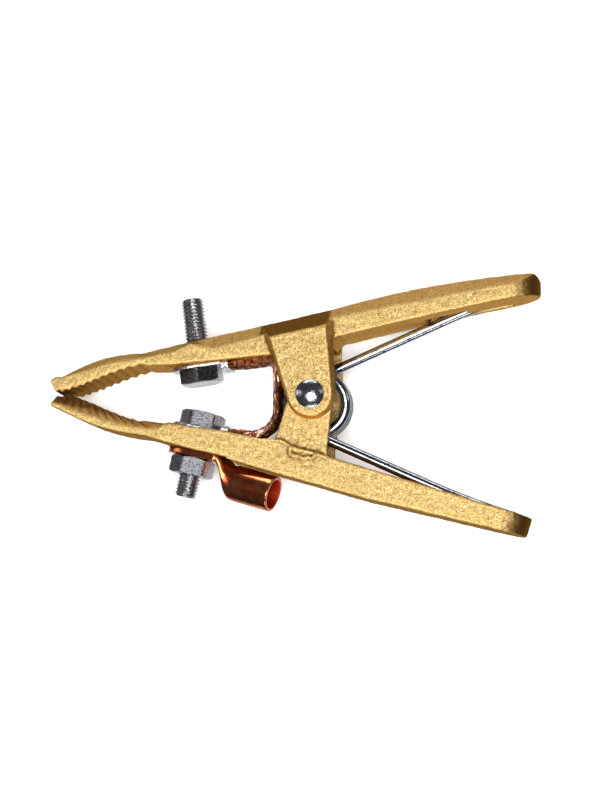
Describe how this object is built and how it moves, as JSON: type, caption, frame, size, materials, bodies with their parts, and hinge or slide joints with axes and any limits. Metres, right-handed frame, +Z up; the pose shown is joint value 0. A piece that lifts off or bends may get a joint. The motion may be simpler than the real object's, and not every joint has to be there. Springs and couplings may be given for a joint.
{
  "type": "spring ground clamp",
  "caption": "Spring-loaded grounding clamp with toothed cast jaws, a torsion spring on a riveted pivot, a braided copper shunt and a bolted tube lug for the cable.",
  "frame": {"origin": "bottom centre of the bounding box of the whole clamp, which lies on its side", "axes": "+X from the jaws to the handles, +Y from the lower arm to the upper arm, +Z up along the pivot axis"},
  "size_m": [0.2108, 0.1116, 0.0408],
  "materials": {
    "cast_brass": "rough sand casting, fine dark grain, unmachined",
    "plated_steel": "bright zinc plating",
    "spring_steel": "drawn wire, bright plating",
    "lug_copper": "bare copper tube, smooth",
    "braid_copper": "stranded bare copper",
    "tinned_copper": "dull tin plating"
  },
  "bodies": {
    "lower_body": {"lower_arm": "cast_brass", "pivot_rivet": "plated_steel", "spacer_sleeve": "plated_steel", "torsion_spring": "spring_steel", "lower_bolt": "plated_steel", "lug_nut": "plated_steel", "cable_lug": "lug_copper", "lower_braid_terminal": "tinned_copper", "shunt_braid": "braid_copper"},
    "upper_body": {"upper_arm": "cast_brass", "upper_bolt": "plated_steel", "upper_braid_terminal": "tinned_copper"}
  },
  "joints": [
    {"name": "jaw_hinge", "type": "hinge", "parent": "lower_body", "child": "upper_body", "pos_m": [0.00846, 0.00521, 0.0204], "axis": [0, 0, -1], "range_deg": [0, 35], "stiffness_Nm_per_rad": 12.6, "springref_deg": -49.85, "deforming": ["torsion_spring", "shunt_braid"]}
  ]
}
